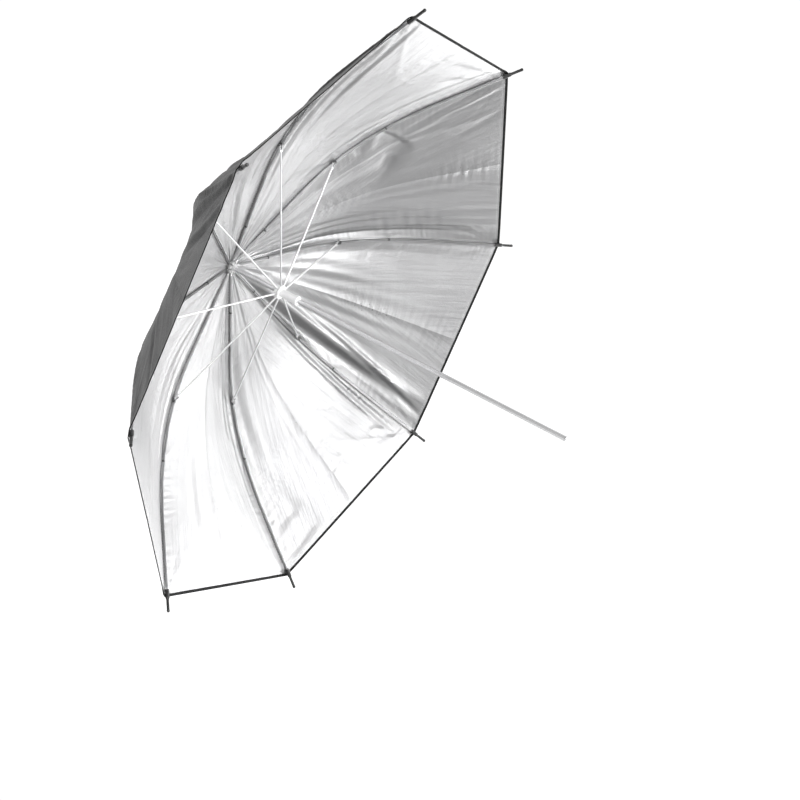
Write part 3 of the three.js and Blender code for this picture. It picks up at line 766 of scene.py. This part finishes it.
def crown_cover():
    """Round cloth patch between the canopy and the crown's washer, with a wavy pinked edge."""
    low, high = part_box("crown_patch")
    reach = (high[0] - low[0]) / 2
    shaft_low, shaft_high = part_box("shaft")
    clearance = 0.4 * MM
    start = (shaft_high[0] - shaft_low[0]) / 2 + clearance
    sides, rings, teeth = 128, 18, 32
    a = (np.arange(sides) * 2 * math.pi / sides)[None, :]
    t = np.linspace(0, 1, rings)[:, None]
    r = start + (reach - start) * t
    shoulder, edge_drop = 12 * MM, 2.6 * MM
    drop = edge_drop * np.clip((r - shoulder) / (reach - shoulder), 0, 1)
    wave = 0.35 * MM * t ** 3 * np.cos(RIBS * a) + 0.12 * MM * t * np.sin(21 * a)
    edge = r - 0.35 * MM * t ** 12 * (1 + np.cos(teeth * a))
    inner = np.stack([edge * np.sin(a), low[1] + 0.1 * MM - drop + wave, edge * np.cos(a)], -1)
    outer = inner + np.array([0, CROWN_COVER_THICKNESS, 0])
    obj = two_faced("crown_cover", inner, outer, [BLACK], wraps=True)
    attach(obj, "frame")
    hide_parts("crown_patch")


def canopy():
    """Eight cloths, each with its hem binding, seam stitches and ties."""
    for k in range(1, RIBS + 1):
        cloth = canopy_panel(k)
        hem, thread = hem_binding(k), stitches(k)
        for obj in (cloth, hem, thread):
            folds_with_rib(obj, k)
        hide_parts(f"canopy_panel_{k}")
        rib_ties(k)


# ---- metal and plastic ------------------------------------------------------------------------------

CAD_LOOKS = {
    "shaft": CHROME, "shaft_end_cap": CHROME, "crown_notch": GREY_PLASTIC, "crown_wire": DARK_STEEL,
    "crown_washer": BLACK_PLASTIC, "ferrule": BLACK_PLASTIC,
    "runner": WHITE_PLASTIC, "runner_wire": DARK_STEEL, "catch_spring": DARK_STEEL,
    "rib": RIB_STEEL, "rib_saddle": DARK_STEEL, "rivet": DARK_STEEL, "rib_tip": BLACK_PLASTIC,
    "stretcher": COATED_ROD,
}


def dress_cad():
    """Gives the CAD's nodes their looks, by name without its number."""
    for name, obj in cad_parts.items():
        look = CAD_LOOKS.get(name.rstrip("0123456789").rstrip("_"))
        if look is None:
            continue
        obj.data.materials.clear()
        obj.data.materials.append(look)


# ---- studio -----------------------------------------------------------------------------------------

def camera():
    """Camera that looks along CAMERA_FORWARD, with CAMERA_UP towards the top."""
    data = bpy.data.cameras.new("camera")
    data.lens = CAMERA_LENS
    data.clip_start, data.clip_end = 0.05, 50
    obj = bpy.data.objects.new("camera", data)
    forward = Vector(CAMERA_FORWARD).normalized()
    right = forward.cross(Vector(CAMERA_UP)).normalized()
    up = right.cross(forward)
    turn = Matrix((right, up, -forward)).transposed()
    obj.matrix_world = Matrix.Translation(CAMERA_PLACE) @ turn.to_4x4()
    bpy.context.scene.collection.objects.link(obj)
    bpy.context.scene.camera = obj


def soft_light(name, place, size, power):
    """Round area light that shines towards LIGHT_AIM."""
    data = bpy.data.lights.new(name, "AREA")
    data.shape = "DISK"
    data.size = size
    data.energy = power
    obj = bpy.data.objects.new(name, data)
    obj.location = place
    obj.rotation_mode = "QUATERNION"
    obj.rotation_quaternion = (Vector(LIGHT_AIM) - Vector(place)).to_track_quat("-Z", "Y")
    bpy.context.scene.collection.objects.link(obj)


def map_range(tree, value, spans, smooth=False):
    """Output of a Map Range node; spans are from min, from max, to min and to max."""
    n = tree.nodes.new("ShaderNodeMapRange")
    n.interpolation_type = "SMOOTHSTEP" if smooth else "LINEAR"
    for socket, span in zip(("From Min", "From Max", "To Min", "To Max"), spans):
        n.inputs[socket].default_value = span
    tree.links.new(value, n.inputs["Value"])
    return n.outputs["Result"]


def towards(tree, vector, direction):
    """Dot product of a vector socket and a direction."""
    n = tree.nodes.new("ShaderNodeVectorMath")
    n.operation = "DOT_PRODUCT"
    n.inputs[1].default_value = direction
    tree.links.new(vector, n.inputs[0])
    return n.outputs["Value"]


def floor():
    """A pale floor that glows towards the white wall."""
    sides = ((-1, -1), (1, -1), (1, 1), (-1, 1))
    corners = [(x * FLOOR_REACH, y * FLOOR_REACH, FLOOR_HEIGHT) for x, y in sides]
    s = Shader("pale_floor", Roughness=0.9)
    s.colour(s.ramp(s.noise(0.6, 3.0), grey(0.58), grey(0.62)))
    s.bsdf.inputs["Emission Color"].default_value = (1, 1, 1, 1)
    far = towards(s.tree, s.node("ShaderNodeTexCoord").outputs["Object"], WHITE_SIDE)
    s.tree.links.new(map_range(s.tree, far, (0.1, 1.1, 0.0, 0.8)), s.bsdf.inputs["Emission Strength"])
    obj = piece("studio_floor", corners, [(0, 1, 2, 3)], [s.material], smooth=False)


def studio():
    """A room that is white on its far side and pale elsewhere, with soft lights on the canopy's open side."""
    world = bpy.data.worlds.new("studio")
    bpy.context.scene.world = world
    world.use_nodes = True
    tree = world.node_tree
    background = tree.nodes["Background"]
    background.inputs["Color"].default_value = (1, 1, 1, 1)
    direction = tree.nodes.new("ShaderNodeTexCoord").outputs["Generated"]
    both = tree.nodes.new("ShaderNodeMath")
    for socket, side, spans in (
        (0, WHITE_SIDE, (0.1, 0.85, 0.26, 1.06)),
        (1, NEAR_SIDE, (0.3, 1.0, 0.0, 0.15)),
    ):
        strength = map_range(tree, towards(tree, direction, side), spans, smooth=True)
        tree.links.new(strength, both.inputs[socket])
    tree.links.new(both.outputs[0], background.inputs["Strength"])
    floor()
    for name, (place, size, power) in LIGHTS.items():
        soft_light(name, place, size, power)
    bpy.context.scene.view_settings.view_transform = "Standard"


canopy()
crown_cover()
dress_cad()
studio()
camera()
